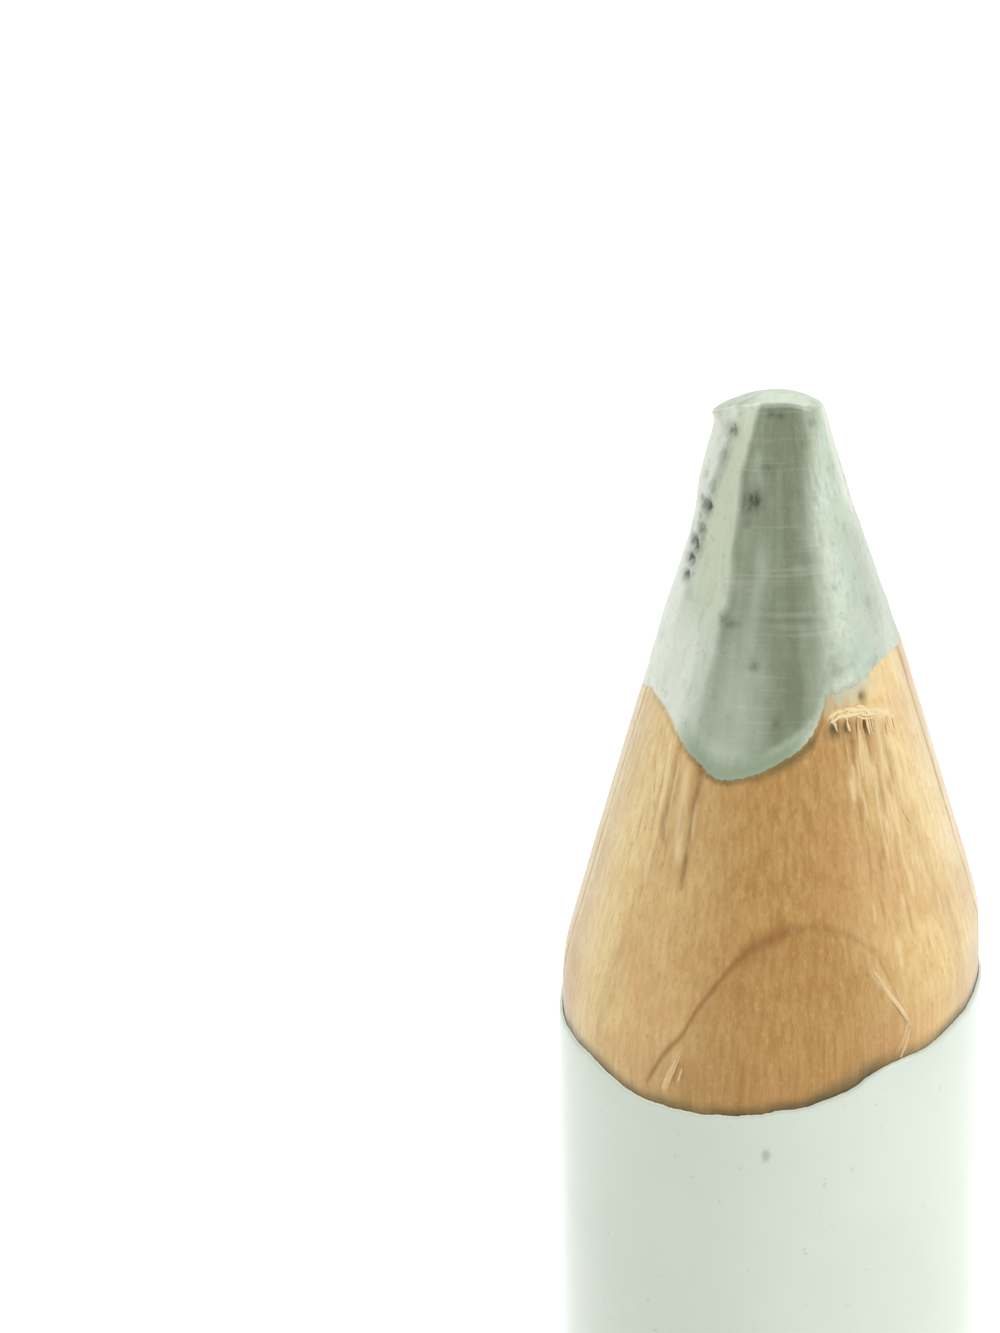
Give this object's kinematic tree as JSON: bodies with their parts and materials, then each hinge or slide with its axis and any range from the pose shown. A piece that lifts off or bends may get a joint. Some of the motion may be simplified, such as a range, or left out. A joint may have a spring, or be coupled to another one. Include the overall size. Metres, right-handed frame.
{
  "type": "eyeliner pencil",
  "caption": "Round wood-cased eyeliner pencil with a pale lacquered barrel, a sharpened bare wood cone and a soft pigment core worn to a faceted, blunt tip.",
  "frame": {"origin": "centre of the flat butt end", "axes": "+Z along the pencil from the butt to the tip, -Y the front, the side whose core is worn to facets, +X to the right of that side"},
  "size_m": [0.008, 0.008, 0.15],
  "materials": {
    "pigment": "waxy silver-green pigment with a soft pearl sheen, smudged and pitted by use",
    "cedar": "bare light wood as a sharpener leaves it, fine grain, unvarnished",
    "lacquer": "smooth glossy pale mint-white lacquer"
  },
  "bodies": {
    "root": {"pigment_core": "pigment", "casing_front_half": "cedar", "casing_back_half": "cedar", "barrel_lacquer": "lacquer"}
  },
  "joints": []
}
